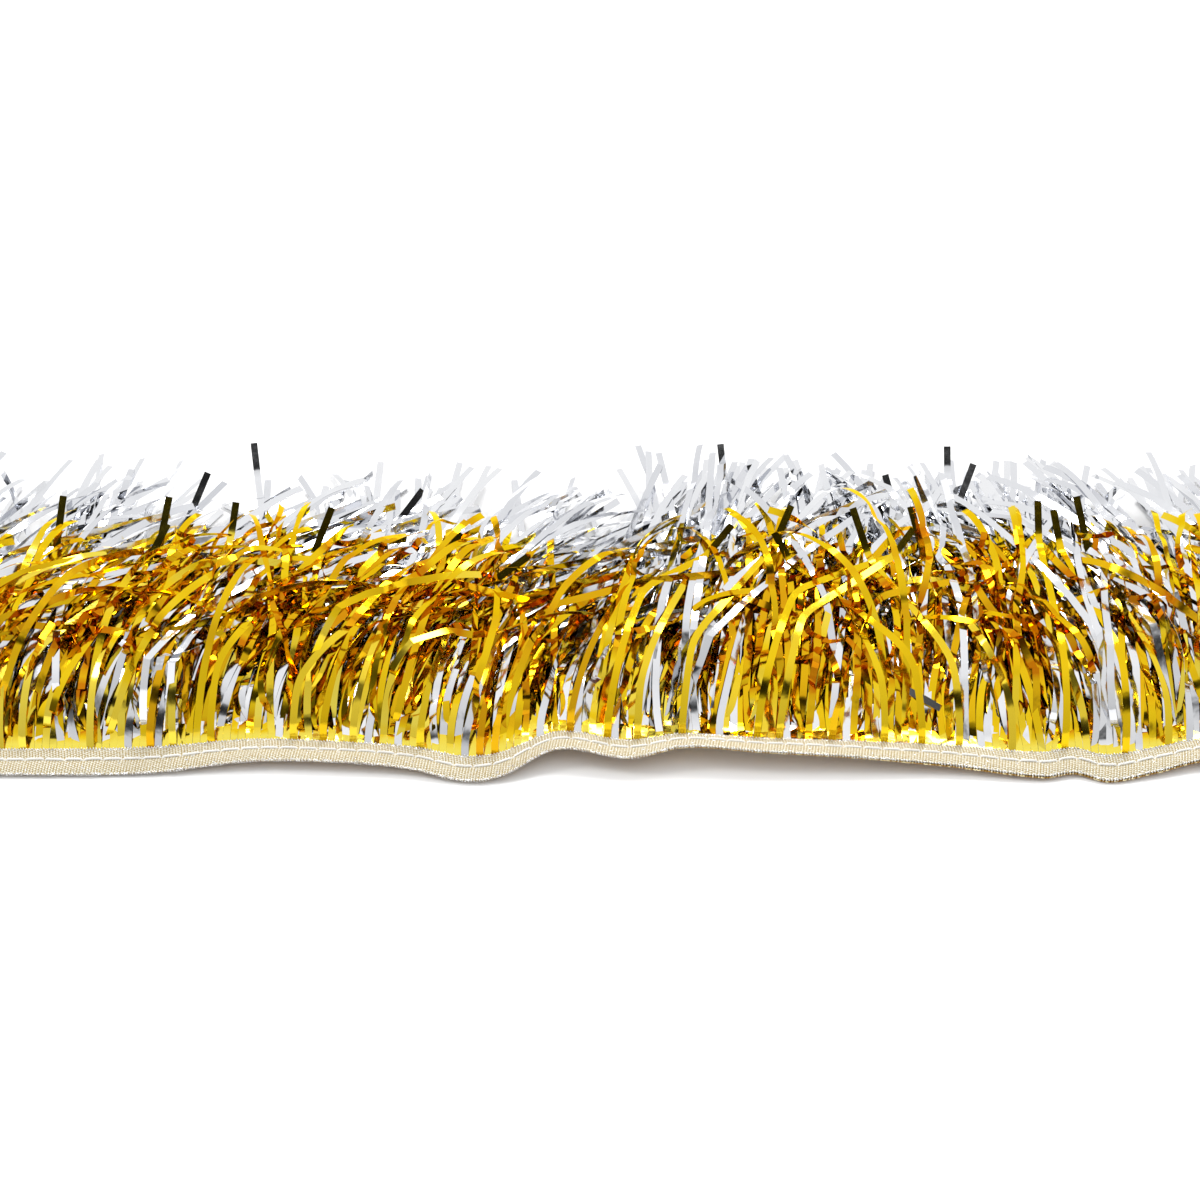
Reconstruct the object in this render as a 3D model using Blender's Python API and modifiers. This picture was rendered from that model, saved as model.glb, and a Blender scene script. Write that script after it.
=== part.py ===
"""Foil fringe band of a New Year party hat: two narrow metallic ribbons, with the headers of three
gold and three silver foil sheets between them, all held by one row of lockstitch. Each foil sheet is
slit into a comb, and its tongues lie back over the table and lean sideways. Metres, +Z up. The band
runs along X, its free ribbon edge faces -Y and the fringe lies towards +Y."""

import math

import bmesh
import bpy
from mathutils import Vector

# Driving dimensions.
BAND_LENGTH = 0.348
STATIONS = 30
RIBBON_WIDTH = 0.006
RIBBON_THICKNESS = 0.0003
FOIL_THICKNESS = 0.00004
STACK_GAP = 0.00006
HEADER_INSET = 0.0012
FREE_EDGE_OFF = 0.00022
SEAM_ACROSS = 0.0035
GROOVE_DEPTH = 0.0003
GROOVE_HALF_WIDTH = 0.0006
SLIT_START = 0.0008
SLIT_WIDTH = 0.0006
TONGUE_ROWS = 4
THREAD_RADIUS = 0.0001
THREAD_GAP = 0.00008
TABLE_LEVEL = 0.0006

# The shape that every tongue follows: how far behind the ribbon it keeps the ribbon's slope, where it
# has come down to the table, where its hump ends, and how its sideways lean grows.
SLOPE_REACH = 0.006
SETTLE_REACH = 0.045
HUMP_REACH = 0.088
HUMP_SHAPE = 0.8
LEAN_REACH = 0.07
LEAN_SHAPE = 1.3

HALF_LENGTH = BAND_LENGTH / 2
STATION_PITCH = BAND_LENGTH / STATIONS
STATION_X = [-HALF_LENGTH + i * STATION_PITCH for i in range(STATIONS + 1)]
HEADER_ROWS = (HEADER_INSET, SEAM_ACROSS, RIBBON_WIDTH)
SLIT_ROOT = RIBBON_WIDTH + SLIT_START
SHEET_STEP = FOIL_THICKNESS + STACK_GAP

# The free edge of the band as it lies: x, y, z in millimetres and the ribbon's pitch in degrees. The
# two ends lie flat, and the middle is lifted and rolled back by the springy fringe behind it.
ROUTE = (
    (-174, 1.0, 1.5, 0),
    (-162, 1.0, 1.5, 0),
    (-150, 1.0, 1.5, 0),
    (-126, 0.3, 1.6, 13),
    (-96, 0.8, 1.6, 14),
    (-74, 2.8, 3.1, 1),
    (-54, 2.2, 3.3, -4),
    (-40, 0.9, 2.6, 2),
    (-29, -1.6, 1.6, 10),
    (-21, -0.8, 2.2, 8),
    (-9, 4.1, 5.4, -11),
    (6, 2.0, 4.8, -10),
    (18, 3.8, 6.4, -22),
    (34, 2.8, 6.0, -21),
    (54, 2.2, 4.9, -15),
    (74, 1.6, 3.2, -6),
    (94, -0.6, 2.0, 7),
    (101, 0.6, 2.0, 8),
    (108, -1.4, 1.6, 12),
    (118, 0.6, 2.2, 5),
    (130, 3.4, 3.0, -3),
    (150, 1.0, 1.5, 0),
    (162, 1.0, 1.5, 0),
    (174, 1.0, 1.5, 0),
)

# How far the tips lean along +X, in millimetres, at places along the band.
LEAN = (
    (-174, 30),
    (-120, 34),
    (-60, 30),
    (-10, 24),
    (30, 16),
    (70, 4),
    (110, -8),
    (174, -10),
)

# Each sheet from the top of the stack down: name, hump height, reach behind the ribbon, colour.
GOLD = (0.90, 0.66, 0.10)
SILVER = (0.86, 0.87, 0.89)
SHEETS = (
    ("gold_foil_top", 0.027, 0.060, GOLD),
    ("gold_foil_middle", 0.0215, 0.064, GOLD),
    ("gold_foil_bottom", 0.0165, 0.068, GOLD),
    ("silver_foil_top", 0.0115, 0.076, SILVER),
    ("silver_foil_middle", 0.006, 0.081, SILVER),
    ("silver_foil_bottom", 0.0, 0.086, SILVER),
)

# Heights off the stack's middle plane: the outermost sheet, the ribbon in its groove and the thread.
OUTER_SHEET = (len(SHEETS) - 1) / 2 * SHEET_STEP
RIBBON_OFF = OUTER_SHEET + STACK_GAP + (FOIL_THICKNESS + RIBBON_THICKNESS) / 2
THREAD_OFF = RIBBON_OFF + RIBBON_THICKNESS / 2 + THREAD_GAP + THREAD_RADIUS


def clear_scene():
    for obj in list(bpy.data.objects):
        bpy.data.objects.remove(obj)


def eased(points, x):
    """Smooth curve through hand-placed points (x, value ...), read at x."""
    i = max(1, next((n for n, p in enumerate(points) if p[0] >= x), len(points) - 1))
    low, high = points[i - 1], points[i]
    before = points[max(0, i - 2)]
    after = points[min(len(points) - 1, i + 1)]
    span = high[0] - low[0]
    t = min(1.0, max(0.0, (x - low[0]) / span))
    values = []
    for k in range(1, len(low)):
        slope_low = (high[k] - before[k]) / (high[0] - before[0]) * span
        slope_high = (after[k] - low[k]) / (after[0] - low[0]) * span
        values.append(
            (2 * t**3 - 3 * t**2 + 1) * low[k]
            + (t**3 - 2 * t**2 + t) * slope_low
            + (3 * t**2 - 2 * t**3) * high[k]
            + (t**3 - t**2) * slope_high
        )
    return values


def station_point(x, across, off):
    """A point across the ribbon from its free edge, and off its middle plane, at one station."""
    y, z, pitch = eased(ROUTE, x * 1000)
    slope = math.radians(pitch)
    along = Vector((0, math.cos(slope), math.sin(slope)))
    normal = Vector((0, -math.sin(slope), math.cos(slope)))
    return Vector((x, y / 1000, z / 1000)) + across * along + off * normal


def band_point(x, across, off):
    """The same anywhere along the band. It runs straight between stations, so that everything in
    the stack stays parallel."""
    share = min(STATIONS, max(0.0, (x + HALF_LENGTH) / STATION_PITCH))
    first = min(STATIONS - 1, int(share))
    start = station_point(STATION_X[first], across, off)
    end = station_point(STATION_X[first + 1], across, off)
    return start.lerp(end, share - first)


def fringe_point(x, behind, off, hump):
    """A point of a foil tongue, behind the slits: it keeps the ribbon's slope at first, rises over
    its hump and comes down towards the table, while it leans sideways."""
    root = band_point(x, SLIT_ROOT, off)
    seam = band_point(x, SEAM_ACROSS, off)
    slope = (root.z - seam.z) / (root.y - seam.y)
    table = TABLE_LEVEL + off + len(SHEETS) / 2 * SHEET_STEP
    fall = min(1.0, behind / SETTLE_REACH)
    height = root.z + (table - root.z) * fall * fall * (3 - 2 * fall)
    height += slope * behind * math.exp(-behind / SLOPE_REACH)
    height += hump * math.sin(math.pi * min(1.0, behind / HUMP_REACH) ** HUMP_SHAPE)
    lean = eased(LEAN, x * 1000)[0] / 1000 * (behind / LEAN_REACH) ** LEAN_SHAPE
    return Vector((x + lean, root.y + behind, height))


def bent_sheet(columns, rows, place, is_cut=None):
    """A flat grid, with some faces cut out, bent into place by a function of x and distance back."""
    bm = bmesh.new()
    bmesh.ops.create_grid(
        bm, x_segments=len(columns) - 1, y_segments=len(rows) - 1, size=1
    )

    def column_row(co):
        column = round((co.x + 1) / 2 * (len(columns) - 1))
        return column, round((co.y + 1) / 2 * (len(rows) - 1))

    def first_corner(face):
        return map(min, *[column_row(vert.co) for vert in face.verts])

    if is_cut:
        cut = [face for face in bm.faces if is_cut(*first_corner(face))]
        bmesh.ops.delete(bm, geom=cut, context="FACES")
    bmesh.ops.triangulate(bm, faces=bm.faces[:], quad_method="FIXED")
    for vert in bm.verts:
        column, row = column_row(vert.co)
        vert.co = place(columns[column], rows[row])
    bmesh.ops.recalc_face_normals(bm, faces=bm.faces)
    mesh = bpy.data.meshes.new("sheet")
    bm.to_mesh(mesh)
    bm.free()
    return mesh


def add_part(name, data, parts, colour, roughness, metallic):
    """Makes the named object of one sub-part and gives it its own material."""
    obj = bpy.data.objects.new(name, data)
    material = bpy.data.materials.new(name)
    material.use_nodes = True
    shader = material.node_tree.nodes["Principled BSDF"]
    shader.inputs["Base Color"].default_value = (*colour, 1)
    shader.inputs["Roughness"].default_value = roughness
    shader.inputs["Metallic"].default_value = metallic
    obj.data.materials.append(material)
    parts.objects.link(obj)
    return obj


def thicken(obj, thickness):
    solidify = obj.modifiers.new("thickness", "SOLIDIFY")
    solidify.thickness = thickness
    solidify.offset = 0
    solidify.use_even_offset = True


def slit_columns():
    """Both sides of each slit, and the far end of the band."""
    return [x + dx for x in STATION_X[:-1] for dx in (0, SLIT_WIDTH)] + STATION_X[-1:]


def ribbon(name, side, parts, colour):
    """A narrow woven ribbon on one side of the stack. Its free edge is pinched to the other
    ribbon's, and it lies proud of the foil, except where the seam pulls it down into a groove."""
    groove = [SEAM_ACROSS + step * GROOVE_HALF_WIDTH for step in (-1, 0, 1)]
    rows = (0, HEADER_INSET, *groove, RIBBON_WIDTH)

    def place(x, across):
        off = RIBBON_OFF if across == SEAM_ACROSS else RIBBON_OFF + GROOVE_DEPTH
        return band_point(x, across, side * (off if across else FREE_EDGE_OFF))

    mesh = bent_sheet(slit_columns(), rows, place)
    thicken(add_part(name, mesh, parts, colour, 0.55, 0.3), RIBBON_THICKNESS)


def foil_sheet(name, off, hump, reach, colour, parts):
    """A foil sheet: a whole header in the seam, slit into tongues from just behind the ribbon."""
    tongue = [SLIT_ROOT + reach * i / TONGUE_ROWS for i in range(TONGUE_ROWS + 1)]
    rows = (*HEADER_ROWS, *tongue)

    def place(x, across):
        if across <= SLIT_ROOT:
            return band_point(x, across, off)
        return fringe_point(x, across - SLIT_ROOT, off, hump)

    def is_slit(column, row):
        return column % 2 == 0 and row >= len(HEADER_ROWS)

    mesh = bent_sheet(slit_columns(), rows, place, is_slit)
    thicken(add_part(name, mesh, parts, colour, 0.15, 1.0), FOIL_THICKNESS)


def seam_thread(name, side, parts):
    """One thread of the lockstitch seam, lying in the groove of its ribbon."""
    curve = bpy.data.curves.new(name, "CURVE")
    curve.dimensions = "3D"
    spline = curve.splines.new("POLY")
    spline.points.add(STATIONS)
    for point, x in zip(spline.points, STATION_X):
        point.co = (*band_point(x, SEAM_ACROSS, side * THREAD_OFF), 1)
    curve.bevel_depth = THREAD_RADIUS
    curve.bevel_resolution = 2
    curve.use_fill_caps = True
    add_part(name, curve, parts, (0.93, 0.92, 0.88), 0.6, 0.0)


def stand_on_origin(parts):
    """Moves the whole band so that the middle of its lowest level is the origin."""
    bpy.context.view_layer.update()
    graph = bpy.context.evaluated_depsgraph_get()
    points = []
    for obj in parts.objects:
        mesh = obj.evaluated_get(graph).to_mesh()
        points += [obj.matrix_world @ vert.co for vert in mesh.vertices]
    low, high = (Vector(map(end, *points)) for end in (min, max))
    for obj in parts.objects:
        obj.location -= Vector(((low.x + high.x) / 2, (low.y + high.y) / 2, low.z))


def build():
    clear_scene()
    parts = bpy.data.collections.new("party_hat_fringe_band")
    bpy.context.scene.collection.children.link(parts)

    ribbon("front_ribbon", 1, parts, (0.72, 0.66, 0.54))
    ribbon("back_ribbon", -1, parts, (0.66, 0.46, 0.12))
    seam_thread("needle_thread", 1, parts)
    seam_thread("bobbin_thread", -1, parts)
    for i, (name, hump, reach, colour) in enumerate(SHEETS):
        foil_sheet(name, OUTER_SHEET - i * SHEET_STEP, hump, reach, colour, parts)
    stand_on_origin(parts)


build()
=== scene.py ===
import math

import bmesh
import bpy
import numpy as np
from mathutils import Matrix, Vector


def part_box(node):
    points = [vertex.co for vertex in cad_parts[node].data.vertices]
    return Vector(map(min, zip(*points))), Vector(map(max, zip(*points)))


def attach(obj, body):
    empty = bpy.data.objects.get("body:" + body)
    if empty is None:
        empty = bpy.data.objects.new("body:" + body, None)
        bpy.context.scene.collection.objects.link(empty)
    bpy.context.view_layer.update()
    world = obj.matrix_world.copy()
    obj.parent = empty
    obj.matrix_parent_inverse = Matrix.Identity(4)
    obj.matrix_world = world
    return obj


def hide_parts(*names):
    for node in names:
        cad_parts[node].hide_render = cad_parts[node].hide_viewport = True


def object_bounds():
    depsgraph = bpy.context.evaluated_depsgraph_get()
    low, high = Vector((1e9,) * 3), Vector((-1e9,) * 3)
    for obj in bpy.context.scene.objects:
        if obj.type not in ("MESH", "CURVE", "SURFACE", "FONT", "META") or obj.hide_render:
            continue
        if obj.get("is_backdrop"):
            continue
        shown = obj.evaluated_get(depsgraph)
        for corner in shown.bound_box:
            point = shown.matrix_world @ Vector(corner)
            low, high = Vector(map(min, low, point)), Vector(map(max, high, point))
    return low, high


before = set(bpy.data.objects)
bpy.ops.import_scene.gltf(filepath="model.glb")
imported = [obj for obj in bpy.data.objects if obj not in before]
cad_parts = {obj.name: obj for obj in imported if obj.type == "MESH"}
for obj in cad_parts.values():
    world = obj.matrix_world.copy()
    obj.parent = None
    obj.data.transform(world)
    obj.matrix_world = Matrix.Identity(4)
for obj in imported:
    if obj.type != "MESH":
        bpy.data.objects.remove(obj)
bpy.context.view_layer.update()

# Camera: a long lens above the free edge of the ribbon, looking down along +Y. The band is longer
# than the view is wide, so it runs out of view at both ends.
MM = 0.001
lens, sensor = 85, 36
elevation = math.radians(45)
distance = 603 * MM
edge_wander = 2.3 * MM
free_edge_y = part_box("back_ribbon")[0].y + edge_wander
camera_data = bpy.data.cameras.new("camera")
camera_data.lens = lens
camera_data.sensor_width = sensor
camera_data.shift_y = 0.1455
camera = bpy.data.objects.new("camera", camera_data)
back = Vector((0, -math.cos(elevation), math.sin(elevation)))
camera.location = Vector((0, free_edge_y, 0)) + distance * back
camera.rotation_euler = (math.pi / 2 - elevation, 0, 0)
bpy.context.scene.collection.objects.link(camera)
bpy.context.scene.camera = camera

# Studio: a white table, white light from above and behind, a dimmer room in front, and the dark
# opening that the camera looks through, which flat facets of foil mirror as dark bands.
bpy.context.scene.view_settings.view_transform = "Standard"
world = bpy.data.worlds.new("studio")
bpy.context.scene.world = world
world.use_nodes = True
sky = world.node_tree
sky.nodes.clear()


def sky_ramp(towards, stops):
    """Grey levels by the angle from one direction: stops are (cosine, level)."""
    direction = sky.nodes.new("ShaderNodeTexCoord")
    cosine = sky.nodes.new("ShaderNodeVectorMath")
    cosine.operation = "DOT_PRODUCT"
    cosine.inputs[1].default_value = Vector(towards).normalized()
    sky.links.new(direction.outputs["Generated"], cosine.inputs[0])
    spread = sky.nodes.new("ShaderNodeMapRange")
    spread.inputs["From Min"].default_value = -1
    sky.links.new(cosine.outputs["Value"], spread.inputs["Value"])
    ramp = sky.nodes.new("ShaderNodeValToRGB")
    ramp.color_ramp.interpolation = "EASE"
    for place, level in stops[2:]:
        ramp.color_ramp.elements.new((place + 1) / 2)
    for element, (place, level) in zip(ramp.color_ramp.elements, sorted(stops)):
        element.position = (place + 1) / 2
        element.color = (level, level, level, 1)
    sky.links.new(spread.outputs["Result"], ramp.inputs["Fac"])
    return ramp.outputs["Color"]


room = sky_ramp((0, 1, 1), ((-1.0, 0.45), (-0.5, 0.76), (0.1, 0.88), (0.6, 1.08), (1.0, 1.05)))
opening = sky_ramp((0.05, -1, 0.90), ((0.0, 1.0), (0.970, 1.0), (0.990, 0.06), (1.0, 0.02)))
side_dark = sky_ramp((-1, -0.45, 0.30), ((0.0, 1.0), (0.88, 1.0), (0.95, 0.2), (1.0, 0.10)))
light = room
for shade in (opening, side_dark):
    dim = sky.nodes.new("ShaderNodeMix")
    dim.data_type = "RGBA"
    dim.blend_type = "MULTIPLY"
    dim.inputs["Factor"].default_value = 1
    sky.links.new(light, dim.inputs["A"])
    sky.links.new(shade, dim.inputs["B"])
    light = dim.outputs["Result"]
background = sky.nodes.new("ShaderNodeBackground")
sky.links.new(light, background.inputs["Color"])
out = sky.nodes.new("ShaderNodeOutputWorld")
sky.links.new(background.outputs["Background"], out.inputs["Surface"])

# Each softbox: name, place, width and height in metres, power. The low one behind the band throws
# its soft shadow forwards, and the small one at the left strikes glints from the creases.
for name, place, wide, high, power in (
    ("softbox_behind", (0.25, 0.75, 1.10), 0.55, 0.35, 9),
    ("softbox_left", (-0.75, 0.10, 0.70), 0.25, 0.25, 3.0),
):
    lamp = bpy.data.lights.new(name, "AREA")
    lamp.shape = "RECTANGLE"
    lamp.size, lamp.size_y = wide, high
    lamp.energy = power
    softbox = bpy.data.objects.new(name, lamp)
    softbox.location = place
    softbox.rotation_euler = (-Vector(place)).to_track_quat("-Z", "Y").to_euler()
    bpy.context.scene.collection.objects.link(softbox)

# Table top: a wide matt white sheet, the stage that the band lies on.
half_table = 6
floor_mesh = bpy.data.meshes.new("table_top")
bm = bmesh.new()
bmesh.ops.create_grid(bm, x_segments=1, y_segments=1, size=half_table)
bm.to_mesh(floor_mesh)
bm.free()
floor = bpy.data.objects.new("table_top", floor_mesh)
floor_paint = bpy.data.materials.new("table_top")
floor_paint.use_nodes = True
floor_shader = floor_paint.node_tree.nodes["Principled BSDF"]
floor_shader.inputs["Base Color"].default_value = (0.95, 0.95, 0.95, 1)
floor_shader.inputs["Roughness"].default_value = 0.9
floor_mesh.materials.append(floor_paint)
bpy.context.scene.collection.objects.link(floor)
floor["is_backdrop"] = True

# The band's route: the free edge of the ribbon as it lies, in millimetres, and the ribbon's pitch
# in degrees. The fringe behind it lifts the middle and rolls it back.
ROUTE = (
    (-174, 1.0, 1.5, 0),
    (-162, 1.0, 1.5, 0),
    (-150, 1.0, 1.5, 0),
    (-126, 0.3, 1.6, 13),
    (-96, 0.8, 1.6, 14),
    (-74, 2.8, 3.1, 1),
    (-54, 2.2, 3.3, -4),
    (-40, 0.9, 2.6, 2),
    (-29, -1.6, 1.6, 10),
    (-21, -0.8, 2.2, 8),
    (-9, 4.1, 5.4, -11),
    (6, 2.0, 4.8, -10),
    (18, 3.8, 6.4, -22),
    (34, 2.8, 6.0, -21),
    (54, 2.2, 4.9, -15),
    (74, 1.6, 3.2, -6),
    (94, -0.6, 2.0, 7),
    (101, 0.6, 2.0, 8),
    (108, -1.4, 1.6, 12),
    (118, 0.6, 2.2, 5),
    (130, 3.4, 3.0, -3),
    (150, 1.0, 1.5, 0),
    (162, 1.0, 1.5, 0),
    (174, 1.0, 1.5, 0),
)
half_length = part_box("front_ribbon")[1].x
ribbon_width = 6.0 * MM
route_points = np.array(ROUTE, float)


def smooth(points, x):
    """Smooth curve through given rows (x, value ...), read at every x."""
    at = points[:, 0]
    slope = np.zeros_like(points)
    slope[1:-1] = (points[2:] - points[:-2]) / (at[2:] - at[:-2])[:, None]
    i = np.clip(np.searchsorted(at, x) - 1, 0, len(at) - 2)
    span = (at[i + 1] - at[i])[:, None]
    t = np.clip((x - at[i])[:, None] / span, 0, 1)
    return (
        (2 * t**3 - 3 * t**2 + 1) * points[i]
        + (t**3 - 2 * t**2 + t) * slope[i] * span
        + (3 * t**2 - 2 * t**3) * points[i + 1]
        + (t**3 - t**2) * slope[i + 1] * span
    )[:, 1:]


# The route moved to stand on the frame's origin: the ribbon's ends lie flat on the table there.
route_shift = Vector((0, -47.37, -0.87)) * MM


def band(x, across, off):
    """Points across the ribbon from its free edge, and off the middle of the stack."""
    x, across, off = np.broadcast_arrays(x, across, off)
    values = smooth(route_points, x.ravel() / MM)
    pitch = np.radians(values[:, 2])
    a, o = across.ravel(), off.ravel()
    y = values[:, 0] * MM + route_shift.y + a * np.cos(pitch) - o * np.sin(pitch)
    z = values[:, 1] * MM + route_shift.z + a * np.sin(pitch) + o * np.cos(pitch)
    return np.stack([x.ravel(), y, z], 1).reshape(*x.shape, 3)


def bent_grid(name, columns, rows, places, thickness, is_cut=None):
    """A flat grid, with some faces cut out, bent so that each corner is at its place, given as
    places[row, column], then thickened. Its edges stay sharp where it is creased."""
    bm = bmesh.new()
    bm.loops.layers.uv.new("along_and_back")
    bmesh.ops.create_grid(bm, x_segments=columns - 1, y_segments=rows - 1, size=1, calc_uvs=True)
    bm.verts.ensure_lookup_table()
    flat = np.array([vert.co[:2] for vert in bm.verts])
    cell = np.rint((flat + 1) / 2 * (columns - 1, rows - 1)).astype(int)
    if is_cut is not None:
        cut = []
        for face in bm.faces:
            column, row = cell[[vert.index for vert in face.verts]].min(axis=0)
            if is_cut(column, row):
                cut.append(face)
        bmesh.ops.delete(bm, geom=cut, context="FACES")
    for vert, (column, row) in zip(bm.verts, cell):
        vert.co = places[row, column]
    mesh = bpy.data.meshes.new(name)
    bm.to_mesh(mesh)
    bm.free()
    sheet = bpy.data.objects.new(name, mesh)
    bpy.context.scene.collection.objects.link(sheet)
    if thickness:
        wall = sheet.modifiers.new("thickness", "SOLIDIFY")
        wall.thickness = thickness
        wall.offset = 0
        graph = bpy.context.evaluated_depsgraph_get()
        sheet.data = bpy.data.meshes.new_from_object(sheet.evaluated_get(graph))
        sheet.modifiers.clear()
    sheet.data.shade_smooth()
    sheet.data.set_sharp_from_angle(angle=math.radians(30))
    return sheet


def link(tree, source, target):
    """Joins one node's output to another's input."""
    tree.links.new(source, target)


def calc(tree, operation, *values):
    """A Math node: each value is a number or another node's output."""
    node = tree.nodes.new("ShaderNodeMath")
    node.operation = operation
    for socket, value in zip(node.inputs, values):
        if isinstance(value, (int, float)):
            socket.default_value = value
        else:
            tree.links.new(value, socket)
    return node.outputs[0]


# Front and back ribbon: narrow braid of matt yarn with metallic lurex, champagne in front and gold
# behind. Fine ribs run across it, its edges are small lurex loops, and the row of stitches pulls it
# down into a groove. The two free edges are pinched together.
rib_pitch = 0.62 * MM
ribs = round(2 * half_length / rib_pitch)
rib_columns = 4 * ribs + 1
ribbon_rows = 16
free_edge_off = 0.16 * MM
face_off = 0.46 * MM
groove_depths = {1: 0.20 * MM, -1: 0.22 * MM}
groove_reach = 0.42 * MM
seam_across = 3.5 * MM
pinch_reach = 1.2 * MM
rib_relief = 0.045 * MM
rib_slant = 0.22
edge_loop = 0.10 * MM
edge_reach = 0.25 * MM
ribbon_thickness = 0.20 * MM


def braid_shape(x, across, side, droop):
    """Ribbon surface: pinched edge, groove, ribs that lean opposite ways either side of the seam,
    and the looped edges."""
    edge = np.clip(across / pinch_reach, 0, 1)
    off = free_edge_off + (face_off - free_edge_off) * edge * edge * (3 - 2 * edge)
    off = off - groove_depths[side] * np.exp(-(((across - seam_across) / groove_reach) ** 2))
    phase = 2 * np.pi * (x / rib_pitch + rib_slant * np.abs(across - seam_across) / MM)
    off = off + rib_relief * np.sin(phase)
    inside = np.minimum(across, ribbon_width - across)
    loop = np.exp(-((inside / edge_reach) ** 2))
    outwards = np.where(across < ribbon_width / 2, -1, 1)
    across = across + outwards * loop * edge_loop * np.sin(phase)
    return band(x, across - droop, side * off)


def ribbon_surface(name, side, droop, seed):
    """One ribbon, on the front (side 1) or the back (side -1) of the stack."""
    chance = np.random.default_rng(seed)
    x = np.linspace(-half_length, half_length, rib_columns)
    uneven = blurred(chance.normal(size=rib_columns), 60, 0) * 0.05 * MM
    uneven = uneven + np.interp(x, *np.array(droop).T)
    across = np.linspace(0, ribbon_width, ribbon_rows)
    x, across = np.meshgrid(x, across)
    places = braid_shape(x, across, side, uneven[None])
    return bent_grid(name, rib_columns, ribbon_rows, places, ribbon_thickness)


def blurred(noise, reach, axis):
    """Noise blurred along one axis, kept at unit size."""
    kernel = np.hanning(2 * reach + 3)[1:-1]
    kernel /= np.sqrt((kernel**2).sum())
    return np.apply_along_axis(lambda row: np.convolve(row, kernel, "same"), axis, noise)


def braid_group():
    """Node group: the braid's ribs and yarns, from the ribbon's own UV map."""
    group = bpy.data.node_groups.new("lurex_braid", "ShaderNodeTree")
    for socket, kind in (("Yarn", "Color"), ("Lurex", "Color"), ("Glint", "Color")):
        group.interface.new_socket(socket, in_out="INPUT", socket_type="NodeSocket" + kind)
    for socket, kind in (("Color", "Color"), ("Height", "Float"), ("Shine", "Float")):
        group.interface.new_socket(socket, in_out="OUTPUT", socket_type="NodeSocket" + kind)
    entry = group.nodes.new("NodeGroupInput")
    result = group.nodes.new("NodeGroupOutput")
    uv = group.nodes.new("ShaderNodeUVMap")
    uv.uv_map = "along_and_back"
    split = group.nodes.new("ShaderNodeSeparateXYZ")
    link(group, uv.outputs["UV"], split.inputs["Vector"])
    across = split.outputs["Y"]
    from_seam = calc(group, "ABSOLUTE", calc(group, "SUBTRACT", across, seam_across / ribbon_width))
    count = calc(group, "MULTIPLY", split.outputs["X"], ribs)
    slant = calc(group, "MULTIPLY", from_seam, rib_slant * ribbon_width / MM)
    slanted = calc(group, "ADD", count, slant)
    rib_wave = calc(group, "SINE", calc(group, "MULTIPLY", slanted, 2 * math.pi))
    picks = calc(group, "MULTIPLY", across, 12)
    shifted = calc(group, "ADD", picks, calc(group, "MULTIPLY", calc(group, "FLOOR", slanted), 0.5))
    pick_wave = calc(group, "SINE", calc(group, "MULTIPLY", shifted, 2 * math.pi))
    cells = group.nodes.new("ShaderNodeCombineXYZ")
    link(group, calc(group, "MULTIPLY", slanted, 2), cells.inputs["X"])
    link(group, calc(group, "MULTIPLY", across, 16), cells.inputs["Y"])
    yarn_noise = group.nodes.new("ShaderNodeTexNoise")
    yarn_noise.inputs["Scale"].default_value = 1
    yarn_noise.inputs["Detail"].default_value = 2
    link(group, cells.outputs["Vector"], yarn_noise.inputs["Vector"])
    sparks = group.nodes.new("ShaderNodeTexWhiteNoise")
    whole = group.nodes.new("ShaderNodeVectorMath")
    whole.operation = "FLOOR"
    link(group, cells.outputs["Vector"], whole.inputs[0])
    link(group, whole.outputs["Vector"], sparks.inputs["Vector"])
    lurex = calc(group, "ADD", calc(group, "MULTIPLY", rib_wave, 0.17), yarn_noise.outputs["Fac"])
    lurex = calc(group, "ADD", lurex, calc(group, "MULTIPLY", pick_wave, 0.15))
    ramp = group.nodes.new("ShaderNodeMapRange")
    ramp.inputs["From Min"].default_value = 0.40
    ramp.inputs["From Max"].default_value = 0.60
    link(group, lurex, ramp.inputs["Value"])
    body = group.nodes.new("ShaderNodeMix")
    body.data_type = "RGBA"
    link(group, ramp.outputs["Result"], body.inputs["Factor"])
    link(group, entry.outputs["Lurex"], body.inputs["A"])
    link(group, entry.outputs["Yarn"], body.inputs["B"])
    # Glints, more of them near the edges: smooth lurex bits whose pale colour is a painted highlight.
    from_edge = calc(group, "MINIMUM", across, calc(group, "SUBTRACT", 1, across))
    near_edge = calc(group, "LESS_THAN", from_edge, 0.055)
    likely = calc(group, "SUBTRACT", 0.988, calc(group, "MULTIPLY", near_edge, 0.33))
    spark = calc(group, "GREATER_THAN", sparks.outputs["Value"], likely)
    lit = group.nodes.new("ShaderNodeMix")
    lit.data_type = "RGBA"
    link(group, spark, lit.inputs["Factor"])
    link(group, body.outputs["Result"], lit.inputs["A"])
    link(group, entry.outputs["Glint"], lit.inputs["B"])
    link(group, lit.outputs["Result"], result.inputs["Color"])
    height = calc(group, "ADD", calc(group, "MULTIPLY", rib_wave, 0.6), pick_wave)
    link(group, calc(group, "ADD", height, calc(group, "MULTIPLY", spark, 1.2)), result.inputs["Height"])
    link(group, spark, result.inputs["Shine"])
    return group


lurex_braid = braid_group()


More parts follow.
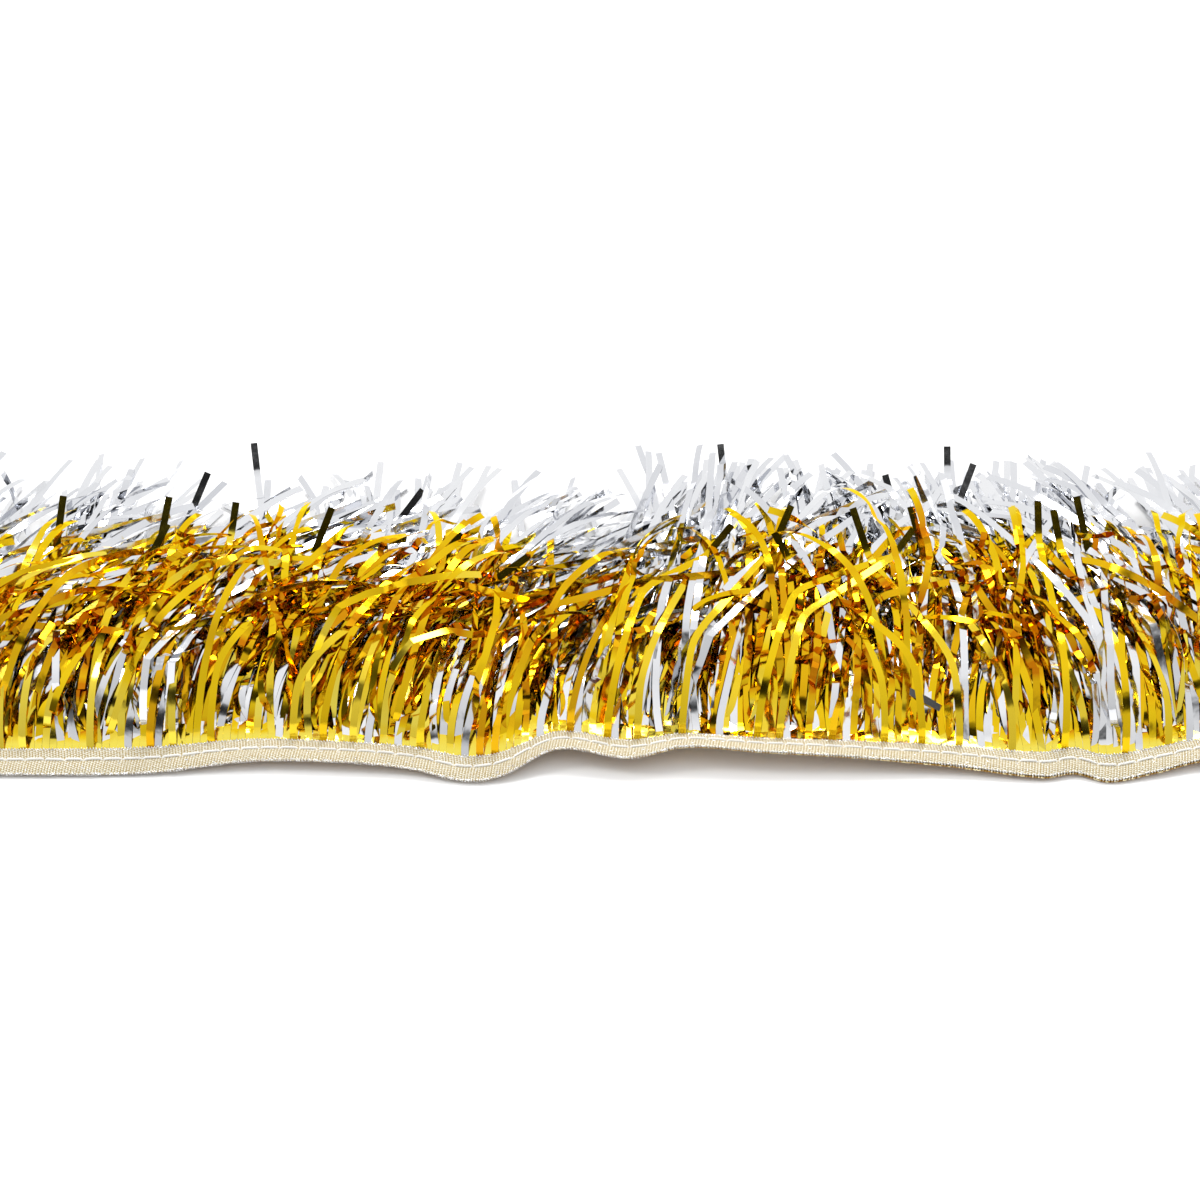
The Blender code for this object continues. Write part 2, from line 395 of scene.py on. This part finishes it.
def braid_material(name, yarn, lurex, glint, metallic):
    """Lurex braid in three colours: the glints are smooth metal with their colour painted pale as
    painted highlights, and the rest is duller.
    """
    material = bpy.data.materials.new(name)
    material.use_nodes = True
    tree = material.node_tree
    shader = tree.nodes["Principled BSDF"]
    weave = tree.nodes.new("ShaderNodeGroup")
    weave.node_tree = lurex_braid
    weave.inputs["Yarn"].default_value = (*yarn, 1)
    weave.inputs["Lurex"].default_value = (*lurex, 1)
    weave.inputs["Glint"].default_value = (*glint, 1)
    link(tree, weave.outputs["Color"], shader.inputs["Base Color"])
    gloss = tree.nodes.new("ShaderNodeMapRange")
    gloss.inputs["To Min"].default_value = 0.58
    gloss.inputs["To Max"].default_value = 0.22
    link(tree, weave.outputs["Shine"], gloss.inputs["Value"])
    link(tree, gloss.outputs["Result"], shader.inputs["Roughness"])
    metal = tree.nodes.new("ShaderNodeMapRange")
    metal.inputs["To Min"].default_value = metallic
    metal.inputs["To Max"].default_value = 0.9
    link(tree, weave.outputs["Shine"], metal.inputs["Value"])
    link(tree, metal.outputs["Result"], shader.inputs["Metallic"])
    bump = tree.nodes.new("ShaderNodeBump")
    bump.inputs["Strength"].default_value = 0.7
    bump.inputs["Distance"].default_value = 0.09 * MM
    link(tree, weave.outputs["Height"], bump.inputs["Height"])
    link(tree, bump.outputs["Normal"], shader.inputs["Normal"])
    return material


def finish_piece(piece, material, node):
    """Gives a piece its material and its place in the frame."""
    piece.data.materials.clear()
    piece.data.materials.append(material)
    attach(piece, "root")
    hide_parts(node)


# How far the back ribbon shows below the front one: place along the band and depth, in metres.
BACK_DROOP = ((0.004, -0.0003), (0.012, 0.00015), (0.060, 0.00015), (0.075, 0.0004))
champagne = braid_material("champagne_braid", (0.84, 0.82, 0.70), (0.50, 0.38, 0.18), (1, 1, 1), 0.1)
gold_braid = braid_material("gold_braid", (0.58, 0.36, 0.08), (0.30, 0.14, 0.02), (1, 0.86, 0.5), 0.6)
front_braid = ribbon_surface("front_braid", 1, ((0, 0),), 1)
finish_piece(front_braid, champagne, "front_ribbon")
back_braid = ribbon_surface("back_braid", -1, BACK_DROOP, 2)
finish_piece(back_braid, gold_braid, "back_ribbon")

def wire_mesh(name, paths, radius, roundness):
    """Closed round wires along paths, joined in one mesh."""
    curve = bpy.data.curves.new(name, "CURVE")
    curve.dimensions = "3D"
    for path in paths:
        spline = curve.splines.new("POLY")
        spline.points.add(len(path) - 1)
        spline.points.foreach_set("co", np.c_[path, np.ones(len(path))].ravel())
    curve.bevel_depth = radius
    curve.bevel_resolution = roundness
    curve.use_fill_caps = True
    guide = bpy.data.objects.new(name + "_path", curve)
    bpy.context.scene.collection.objects.link(guide)
    graph = bpy.context.evaluated_depsgraph_get()
    mesh = bpy.data.meshes.new_from_object(guide.evaluated_get(graph))
    bpy.data.objects.remove(guide)
    bm = bmesh.new()
    bm.from_mesh(mesh)
    bmesh.ops.remove_doubles(bm, verts=bm.verts, dist=0.001 * MM)
    bm.to_mesh(mesh)
    bm.free()
    mesh.shade_smooth()
    wire = bpy.data.objects.new(name, mesh)
    bpy.context.scene.collection.objects.link(wire)
    return wire


# Looped edges of the front ribbon: a fine silver lurex yarn whipped round both edges of the braid,
# one loop to each rib. It is woven in with the ribbon, so it has no node of its own.
picot_loop = 0.22 * MM
picot_radius = 0.13 * MM
points_per_loop = 6


def whipped_edges(name, side, seed):
    """The braid's two picot edges: a fine silver lurex yarn looped round each of them."""
    chance = np.random.default_rng(seed)
    turns = round(2 * half_length / rib_pitch)
    count = turns * points_per_loop + 1
    x = np.linspace(-half_length, half_length, count)
    around = 2 * np.pi * turns * np.linspace(0, 1, count)
    loop = picot_loop * (1 + 0.40 * blurred(chance.normal(size=count), 3, 0))
    paths = []
    for edge, centre in ((0, free_edge_off), (ribbon_width, face_off)):
        path = band(x, edge + loop * np.cos(around), side * (centre + loop * np.sin(around)))
        paths.append(path)
    return wire_mesh(name, paths, picot_radius, 0)


def picot_material():
    """Silver lurex: flat metallised yarn, its colour painted in small random patches of grey and near
    white, painted highlights and shade that stand in for how it turns bright and dark as it goes round.
    """
    material = bpy.data.materials.new("silver_lurex")
    material.use_nodes = True
    tree = material.node_tree
    shader = tree.nodes["Principled BSDF"]
    shader.inputs["Metallic"].default_value = 0.45
    shader.inputs["Roughness"].default_value = 0.28
    where = tree.nodes.new("ShaderNodeTexCoord")
    glints_and_shade_noise = tree.nodes.new("ShaderNodeTexNoise")
    glints_and_shade_noise.inputs["Scale"].default_value = 2600
    link(tree, where.outputs["Object"], glints_and_shade_noise.inputs["Vector"])
    # Painted highlights and shade: near-white beads among grey patches on the yarn.
    ramp = tree.nodes.new("ShaderNodeValToRGB")
    ramp.color_ramp.elements[0].position = 0.44
    ramp.color_ramp.elements[0].color = (0.50, 0.47, 0.40, 1)
    ramp.color_ramp.elements[1].position = 0.52
    ramp.color_ramp.elements[1].color = (1.0, 1.0, 1.0, 1)
    link(tree, glints_and_shade_noise.outputs["Fac"], ramp.inputs["Fac"])
    link(tree, ramp.outputs["Color"], shader.inputs["Base Color"])
    return material


picots = whipped_edges("front_picot_edges", 1, 5)
picots.data.materials.append(picot_material())
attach(picots, "root")

# Lockstitch threads: two-ply polyester, one on each face. Each stitch lies along the groove and
# dives into a needle hole at both of its ends, where the two threads lock inside the band.
stitch_length = 4.15 * MM
ply_radius = 0.16 * MM
ply_turn = 0.95 * MM
points_per_stitch = 32
thread_bed = {1: 0.22 * MM, -1: -0.05 * MM}
hole_reach = 0.34 * MM
dive_depth = 0.45 * MM
dive_across = 0.26 * MM
wobble_size = 0.045 * MM


def stitched_thread(name, side, seed):
    """The thread on one face: two plies twisted together, along whole stitches only."""
    chance = np.random.default_rng(seed)
    stitches = int(2 * half_length / stitch_length)
    count = stitches * points_per_stitch + 1
    x = (np.arange(count) / points_per_stitch - stitches / 2) * stitch_length
    part = (np.arange(count) % points_per_stitch) / points_per_stitch
    hole = np.minimum(part, 1 - part) * stitch_length
    dive = np.exp(-((hole / hole_reach) ** 2))
    proud = face_off - groove_depths[side] + ribbon_thickness / 2 + thread_bed[side]
    wobble = blurred(chance.normal(size=count), 20, 0) * wobble_size
    paths = []
    for ply in range(2):
        around = 2 * np.pi * x / ply_turn + ply * np.pi
        off = proud - dive_depth * dive + ply_radius * np.cos(around)
        across = seam_across + wobble + ply_radius * np.sin(around) - dive_across * dive
        paths.append(band(x, across, side * off))
    return wire_mesh(name, paths, ply_radius, 1)


def thread_material():
    """White sewing thread: bright fibres, with their hollows painted slightly darker as painted shade.
    """
    material = bpy.data.materials.new("white_thread")
    material.use_nodes = True
    tree = material.node_tree
    shader = tree.nodes["Principled BSDF"]
    shader.inputs["Sheen Weight"].default_value = 0.3
    shader.inputs["Roughness"].default_value = 0.55
    where = tree.nodes.new("ShaderNodeTexCoord")
    fibres_and_hollow_shade = tree.nodes.new("ShaderNodeTexNoise")
    fibres_and_hollow_shade.inputs["Scale"].default_value = 5000
    link(tree, where.outputs["Object"], fibres_and_hollow_shade.inputs["Vector"])
    # Painted shade: the thread's colour is a little darker where the noise dips into hollows.
    tint = tree.nodes.new("ShaderNodeMix")
    tint.data_type = "RGBA"
    tint.inputs["A"].default_value = (0.90, 0.89, 0.85, 1)
    tint.inputs["B"].default_value = (1.0, 1.0, 0.98, 1)
    link(tree, fibres_and_hollow_shade.outputs["Fac"], tint.inputs["Factor"])
    link(tree, tint.outputs["Result"], shader.inputs["Base Color"])
    bump = tree.nodes.new("ShaderNodeBump")
    bump.inputs["Strength"].default_value = 0.4
    bump.inputs["Distance"].default_value = 0.02 * MM
    link(tree, fibres_and_hollow_shade.outputs["Fac"], bump.inputs["Height"])
    link(tree, bump.outputs["Normal"], shader.inputs["Normal"])
    return material


white_thread = thread_material()
finish_piece(stitched_thread("needle_stitches", 1, 3), white_thread, "needle_thread")
finish_piece(stitched_thread("bobbin_stitches", -1, 4), white_thread, "bobbin_thread")

# Foil sheets: metallised film, lacquered gold or left silver, cut into 1.6 mm strips from just
# behind the ribbon and gathered with their uncut headers between the ribbons. Each strip is a flat
# ribbon of film, so it bends and creases across its width and twists, but hardly bends edgewise.
strip_width = 1.6 * MM
slit_width = 0.04 * MM
foil_thickness = 0.035 * MM
steps = 46
header_inset = 1.2 * MM
least_height = 0.25 * MM
end_margin = 9 * MM
calm_share = 0.45
pinched_share = 0.4
wild_share = 0.15
strips = int(2 * half_length / strip_width)
root_x = (np.arange(strips) - (strips - 1) / 2) * strip_width

# How the fringe lies along the band: its sideways lean in degrees at the base and at the tips.
LEAN = np.array((
    (-174, 12, 44),
    (-120, 14, 46),
    (-80, 16, 42),
    (-45, 18, 40),
    (-15, 18, 34),
    (10, 14, 26),
    (40, 10, 14),
    (62, 8, 8),
    (77, 16, 14),
    (89, 0, 0),
    (103, -18, -18),
    (114, -8, -14),
    (130, -10, -18),
    (174, -8, -10),
), float)

# Places along the band, in mm, where the strips part and what lies under them shows.
PARTINGS = (-66, -36, -13, 2, 55, 80)
parting_reach = 4
parting_lean = 0.34


def alike(chance, reach_mm, reach_steps):
    """Smooth noise over strips and steps, alike in strips within the reach of each other."""
    noise = chance.normal(size=(strips, steps))
    reach = round(reach_mm * MM / strip_width)
    if reach:
        noise = blurred(noise, reach, 0)
    return blurred(noise, reach_steps, 1)


def along_band(chance, reach_mm):
    """One smooth random value for each strip, alike in neighbours within the reach."""
    return blurred(chance.normal(size=strips), max(1, round(reach_mm * MM / strip_width)), 0)


def turn(vectors, axis, angle):
    """Vectors turned about unit axes by angles, row by row."""
    c, s = np.cos(angle)[:, None], np.sin(angle)[:, None]
    dot = (axis * vectors).sum(1)[:, None]
    return vectors * c + np.cross(axis, vectors) * s + axis * dot * (1 - c)


def unit(vectors):
    """Vectors at unit length."""
    return vectors / np.linalg.norm(vectors, axis=-1, keepdims=True)


def crease_over(heading, width, angle, skew):
    """Folds the strips about a crease that crosses each of them at a skew."""
    crease = width * np.cos(skew)[:, None] + heading * np.sin(skew)[:, None]
    return crease, turn(heading, crease, angle), turn(width, crease, angle)


def pick_creases(chance, crumple):
    """Sharp folds of each strip: one where it leaves the stub beside the ribbon, then zigzags that
    gather in its middle, some of them alike in neighbours that were crushed together."""
    rows = np.arange(strips)
    fold = np.zeros((strips, steps))
    crumple = crumple * np.where(chance.random(strips) < calm_share, 0.22, 1.25)
    stub = np.clip(np.rint(2.3 + along_band(chance, 4) * 0.8), 1, 4).astype(int)
    up = along_band(chance, 3.5) > -0.6
    fold[:, 0] = 0.22
    fold[rows, stub] = np.where(up, 1, -0.9) * chance.uniform(0.1, 0.75, strips)
    pinched = chance.random(strips) < pinched_share
    fold[rows, stub] -= pinched * 1.1
    fold[rows, stub + 1] += pinched * chance.uniform(1.0, 1.7, strips)
    for crushed_together in (True, True, False, False, False):
        if crushed_together:
            at = 0.48 + 0.14 * along_band(chance, 5) + 0.015 * chance.normal(size=strips)
            size = along_band(chance, 4) * 0.55
        else:
            at = chance.beta(1.9, 1.7, strips)
            size = chance.normal(size=strips) * 0.62
        at = np.clip(np.rint(at * steps), 5, steps - 6).astype(int)
        size = np.clip(size * crumple, -1.5, 1.5)
        fold[rows, at] += size
        fold[rows, at + chance.integers(1, 4, strips)] -= size * chance.uniform(0.3, 1.15, strips)
    return stub, fold


def grow_strips(chance, tufts, off, length, rise, fall, crumple, ceiling):
    """Lays out the strips of one sheet from the ribbon outwards. rise and fall are the angles above
    the table at the base and at the tip. Returns the strips' middle lines, their crease axes and how
    crumpled they are, which later darkens them as painted shade in the creases. The sheets of one
    colour were gathered together, so they share most tufts."""
    lean = np.radians(smooth(LEAN, root_x / MM))
    tuft = along_band(tufts, 7) * 0.15 + along_band(tufts, 3.5) * 0.19 + along_band(chance, 3) * 0.08
    for parting in PARTINGS:
        beside = (root_x / MM - parting) / parting_reach
        tuft = tuft + parting_lean * np.tanh(2 * beside) * np.exp(-beside * beside)
    tip_tuft = along_band(tufts, 9) * 0.24 + along_band(tufts, 4) * 0.26
    tip_tuft = tip_tuft + along_band(chance, 4) * 0.12
    rise_tuft = along_band(tufts, 9) * 0.20 + along_band(tufts, 3.2) * 0.16
    kink = along_band(tufts, 3.2) * 0.07 + chance.normal(size=strips) * 0.07
    own_rise = chance.normal(size=strips) * 0.20
    own_lean = chance.normal(size=strips) * 0.24
    own_length = length * (1 + chance.normal(size=strips) * 0.035)
    level = smooth(route_points, root_x / MM)
    pitch = np.radians(level[:, 2])
    heading = np.stack([np.zeros(strips), np.cos(pitch), np.sin(pitch)], 1)
    width = np.tile((1.0, 0.0, 0.0), (strips, 1))
    along = np.arange(steps) / steps
    rough = np.clip((along - 0.12) / 0.3, 0.06, 1) * np.clip((0.97 - along) / 0.15, 0.12, 1)
    wave = (alike(chance, 4.5, 2) * 0.04 + alike(chance, 0, 2) * 0.03) * rough * crumple
    curl = (alike(chance, 5, 3) * 0.045 + alike(chance, 0, 3) * 0.05) * rough * crumple
    wild = chance.random(strips) < wild_share
    wave[wild] *= 2.0
    curl[wild] *= 2.6
    stub, fold = pick_creases(chance, crumple)
    slant = np.where(np.abs(fold) > 0.08, 0.42, 0.06)
    skew = np.clip(chance.normal(size=(strips, steps)) * slant, -0.65, 0.65)

    place = band(root_x, ribbon_width, off)
    lines, creases = [], []
    for k in range(steps + 1):
        row = min(k, steps - 1)
        share = k / steps
        angle_up = (rise + rise_tuft + own_rise) * (1 - share) + fall * share
        sideways = (
            lean[:, 0] * (1 - share)
            + lean[:, 1] * share**0.8
            + tuft * min(1, 1.8 * share)
            + tip_tuft * share
            + own_lean * share**0.25
        )
        aim = np.stack([
            np.cos(angle_up) * np.sin(sideways),
            np.cos(angle_up) * np.cos(sideways),
            np.sin(angle_up),
        ], 1)
        grip = np.clip((k - stub + 1) / 3, 0, 1)
        normal = np.cross(width, heading)
        pull = aim - (aim * heading).sum(1)[:, None] * heading
        across_pull = (pull * width).sum(1) * grip
        up_pull = (pull * normal).sum(1) * grip
        bend = np.clip(0.30 * up_pull, -0.26, 0.26) + fold[:, row] + wave[:, row]
        crease, heading, width = crease_over(heading, width, bend, skew[:, row])
        lines.append(place.copy())
        creases.append(crease / np.cos(skew[:, row])[:, None])
        normal = np.cross(width, heading)
        edgewise = np.clip(0.12 * across_pull, -0.05, 0.05) + np.where(k == stub, kink, 0)
        heading = turn(heading, normal, -edgewise)
        width = turn(width, normal, -edgewise)
        twist = np.clip(0.22 * across_pull * np.sign(up_pull + 1e-9), -0.15, 0.15) + curl[:, row]
        width = turn(width, heading, twist)
        low = place[:, 2] < 0.6 * MM
        heading[low, 2] = np.abs(heading[low, 2]) * 0.3
        high = place[:, 2] > ceiling
        heading[high, 2] = np.minimum(heading[high, 2], -0.05)
        beyond = np.abs(place[:, 0]) > half_length + end_margin
        heading[beyond, 0] = heading[beyond, 0] * 0.3 - np.sign(place[beyond, 0]) * 0.1
        heading = unit(heading)
        width = unit(width - (width * heading).sum(1)[:, None] * heading)
        place = place + (own_length / steps)[:, None] * heading
        place[:, 2] = np.maximum(place[:, 2], least_height)
    # How crumpled each part of a strip is: it darkens the film as painted shade in its creases.
    crease_shade = blurred(np.abs(fold) + 1.5 * np.abs(wave) + 1.5 * np.abs(curl), 1, 1)
    return np.array(lines), np.array(creases), crease_shade


def lay_stray(chance, root, off, length, lean, height, droop, facing):
    """One long calm strip that lies over the others. It leaves the ribbon with its neighbours, bends
    to its lean in degrees, climbs to its height in mm and droops. It lies flat or on its edge, or
    its last centimetre or so stands up and mirrors the dark opening of the studio."""
    start = band(np.array([root]), ribbon_width, off)[0]
    share = np.arange(steps + 1) / steps
    bend = chance.uniform(0.10, 0.28) + (0.30 if abs(lean) > 45 else 0)
    swing = np.clip((share - bend) / 0.10, 0, 1)
    sideways = math.radians(lean) * np.clip(share / 0.06, 0, 1) * (0.3 + 0.7 * swing)
    tip = chance.uniform(9, 17) * MM / length if facing == "viewer" else 0
    tip_climb = math.atan(1.07 * math.cos(math.radians(lean)))
    climb = (height * MM - start[2] - tip * length * math.sin(tip_climb)) / (0.21 * length)
    climb = np.clip(climb, 0.05, 1.35) * np.clip(1 - share / 0.42, 0, 1)
    climb = climb - math.radians(droop) * np.clip((share - 0.42) / 0.58, 0, 1)
    at_tip = np.clip((share - 1 + tip) / 0.04, 0, 1) if tip else 0 * share
    climb = climb * (1 - at_tip) + tip_climb * at_tip
    heading = np.stack([
        np.cos(climb) * np.sin(sideways),
        np.cos(climb) * np.cos(sideways),
        np.sin(climb),
    ], 1)
    step = heading * length / steps
    line = start + np.concatenate([np.zeros((1, 3)), np.cumsum(step[:-1], 0)])
    flat_face = np.array((0.9, -0.3, 0.3) if facing == "edge" else (0.1, -0.3, 1.0))
    viewer_face = np.array((0.02 - root, -0.88, 0.82))
    face = flat_face * (1 - at_tip[:, None]) + viewer_face * at_tip[:, None]
    width = unit(np.cross(heading, face))
    width *= np.sign(width[:, :1] + 1e-9)
    width = turn(width, heading, chance.normal() * 0.5 * np.sin(2 * np.pi * share) * (1 - at_tip))
    turned = np.clip((share - 0.04) / 0.2, 0, 1)[:, None]
    return line, unit(np.array((1.0, 0, 0)) * (1 - turned) + width * turned)


def foil_material(name, tints_and_crease_shade, edge_tint):
    """Metallised film. Its lacquer runs from the palest strips to the darkest creases, and that
    darkening of the creases is painted shade, standing in for light bounced between them. Fine cross
    creases break up its mirror."""
    material = bpy.data.materials.new(name)
    material.use_nodes = True
    tree = material.node_tree
    shader = tree.nodes["Principled BSDF"]
    shader.inputs["Metallic"].default_value = 1
    shader.inputs["Specular Tint"].default_value = (*edge_tint, 1)
    shader.inputs["Coat Weight"].default_value = 0.05
    shader.inputs["Coat Roughness"].default_value = 0.08
    # The strip's colour level, with painted crease shade added, picks the film's colour.
    colour_and_crease_shade = tree.nodes.new("ShaderNodeAttribute")
    colour_and_crease_shade.attribute_name = "colour_and_crease_shade"
    paint = tree.nodes.new("ShaderNodeValToRGB")
    paint.color_ramp.elements.new(0.25)
    for element, place, tint in zip(paint.color_ramp.elements, (0.0, 0.25, 1.0), tints_and_crease_shade):
        element.position = place
        element.color = (*tint, 1)
    tree.links.new(colour_and_crease_shade.outputs["Fac"], paint.inputs["Fac"])
    tree.links.new(paint.outputs["Color"], shader.inputs["Base Color"])
    where = tree.nodes.new("ShaderNodeTexCoord")
    cloud = tree.nodes.new("ShaderNodeTexNoise")
    cloud.inputs["Scale"].default_value = 320
    cloud.inputs["Detail"].default_value = 2
    tree.links.new(where.outputs["Object"], cloud.inputs["Vector"])
    dull = tree.nodes.new("ShaderNodeMapRange")
    dull.inputs["From Min"].default_value = 0.3
    dull.inputs["From Max"].default_value = 0.7
    dull.inputs["To Min"].default_value = 0.06
    dull.inputs["To Max"].default_value = 0.13
    tree.links.new(cloud.outputs["Fac"], dull.inputs["Value"])
    tree.links.new(dull.outputs["Result"], shader.inputs["Roughness"])
    bump = tree.nodes.new("ShaderNodeBump")
    bump.inputs["Strength"].default_value = 0.12
    bump.inputs["Distance"].default_value = 0.0004
    tree.links.new(cloud.outputs["Fac"], bump.inputs["Height"])
    tree.links.new(bump.outputs["Normal"], shader.inputs["Normal"])
    return material


# Each film's colours, palest first; the last is painted shade for the creases, orange-brown in the gold
# and grey in the silver.
gold_tints_and_crease_shade = ((0.86, 0.71, 0.10), (0.82, 0.56, 0.008), (0.58, 0.19, 0.002))
silver_tints_and_crease_shade = ((0.84, 0.845, 0.86), (0.76, 0.77, 0.795), (0.55, 0.56, 0.60))
gold_film = foil_material("gold_film", gold_tints_and_crease_shade, (1.0, 0.80, 0.30))
silver_film = foil_material("silver_film", silver_tints_and_crease_shade, (0.9, 0.9, 0.9))

first_stray, last_stray = -150, 130
lean_back_from = 60


def scatter_strays(chance, spacing, kinds):
    """Strips that stray over the others, about one to each spacing in mm, each of a kind drawn by
    chance. At the right they lean the other way, as their neighbours do."""
    roots = np.arange(first_stray, last_stray, spacing)
    roots = roots + chance.uniform(-0.4, 0.4, len(roots)) * spacing
    picks = [chance.integers(len(kinds)) for root in roots]
    sways = chance.uniform(-10, 10, len(roots))
    strays = []
    for root, pick, sway in zip(roots, picks, sways):
        lean, height, droop, facing = kinds[pick]
        lean = lean + sway if root < lean_back_from else -0.5 * lean + sway
        strays.append((root, lean, height, droop, facing))
    return strays


# The kinds of stray strip: lean in degrees, height in mm, droop in degrees, and the way the flat of
# the strip faces.
gold_kinds = (
    (10, 30, 0, "viewer"),
    (40, 29, 0, "viewer"),
    (60, 28, 5, "viewer"),
    (70, 26, 5, "edge"),
    (50, 24, 15, "edge"),
    (60, 25, 10, "up"),
    (30, 23, 20, "up"),
)
silver_kinds = (
    (0, 17, 0, "viewer"),
    (30, 17, 0, "viewer"),
    (50, 15, 5, "viewer"),
    (60, 20, 5, "edge"),
    (45, 14, 5, "edge"),
    (20, 12, 10, "up"),
)
gold_strays = scatter_strays(np.random.default_rng(21), 10, gold_kinds)
silver_strays = scatter_strays(np.random.default_rng(31), 12, silver_kinds)

# Each sheet: colour, layer, place in the stack in mm, length in mm, rise and fall in degrees,
# crumple, greatest height in mm and its own seed.
SHEETS = (
    ("gold", "top", 0.13, 66, 52, -40, 1.2, 31, 11),
    ("gold", "middle", 0.08, 67, 44, -36, 1.15, 26, 12),
    ("gold", "bottom", 0.03, 69, 36, -32, 1.1, 21, 13),
    ("silver", "top", -0.02, 90, 30, -30, 0.45, 19, 14),
    ("silver", "middle", -0.07, 92, 20, -18, 0.35, 13, 15),
    ("silver", "bottom", -0.12, 94, 9, -6, 0.3, 8, 16),
)
films = {"gold": gold_film, "silver": silver_film}
tuft_seeds = {"gold": 8, "silver": 9}
top_strays = {"gold": gold_strays, "silver": silver_strays}
for colour, layer, off, length, rise, fall, crumple, highest, seed in SHEETS:
    strays = top_strays[colour] if layer == "top" else ()
    chance = np.random.default_rng(seed)
    lines, widths, crease_shade = grow_strips(
        chance, np.random.default_rng(tuft_seeds[colour]), off * MM, length * MM, math.radians(rise),
        math.radians(fall), crumple, highest * MM,
    )
    # Each strip's own random level, plus painted crease shade where it is crumpled, all fading to the
    # palest colour over the first rows from the ribbon.
    strip_colour_and_shade = chance.random(strips)[:, None] * 0.5 + crease_shade * 0.6
    strip_colour_and_shade = strip_colour_and_shade * np.clip((np.arange(steps) - 1) / 3, 0, 1)
    for root, lean, height, droop, facing in strays:
        strip = np.abs(root_x - root * MM).argmin()
        stray = lay_stray(chance, root_x[strip], off * MM, length * MM, lean, height, droop, facing)
        lines[:, strip], widths[:, strip] = stray
        strip_colour_and_shade[strip] = chance.uniform(0.05, 0.4) if facing == "viewer" else chance.uniform(0.1, 0.8)
    header = band(root_x, header_inset, off * MM)[None]
    straight = np.tile((1.0, 0.0, 0.0), (1, strips, 1))
    lines = np.concatenate([header, lines])
    widths = np.concatenate([straight, widths])
    half = (strip_width - slit_width) / 2
    places = np.stack([lines - widths * half, lines + widths * half], 2)
    places = places.reshape(len(lines), 2 * strips, 3)
    places[..., 2] = np.maximum(places[..., 2], 0.05 * MM)
    sheet = bent_grid(
        colour + "_strips_" + layer, 2 * strips, len(lines), places, foil_thickness,
        lambda column, row: column % 2 == 1 and row >= 1,
    )
    uv = np.empty(len(sheet.data.loops) * 2)
    sheet.data.uv_layers[0].data.foreach_get("uv", uv)
    uv = uv.reshape(-1, 2)
    strip_of = np.clip((uv[:, 0] * (2 * strips - 1) / 2 + 0.01).astype(int), 0, strips - 1)
    row_of = np.clip(np.rint(uv[:, 1] * steps - 1).astype(int), 0, steps - 1)
    colour_and_crease_shade = sheet.data.attributes.new("colour_and_crease_shade", "FLOAT", "CORNER")
    colour_and_crease_shade.data.foreach_set("value", strip_colour_and_shade[strip_of, row_of])
    finish_piece(sheet, films[colour], colour + "_foil_" + layer)

# The finished object's size.
low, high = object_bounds()
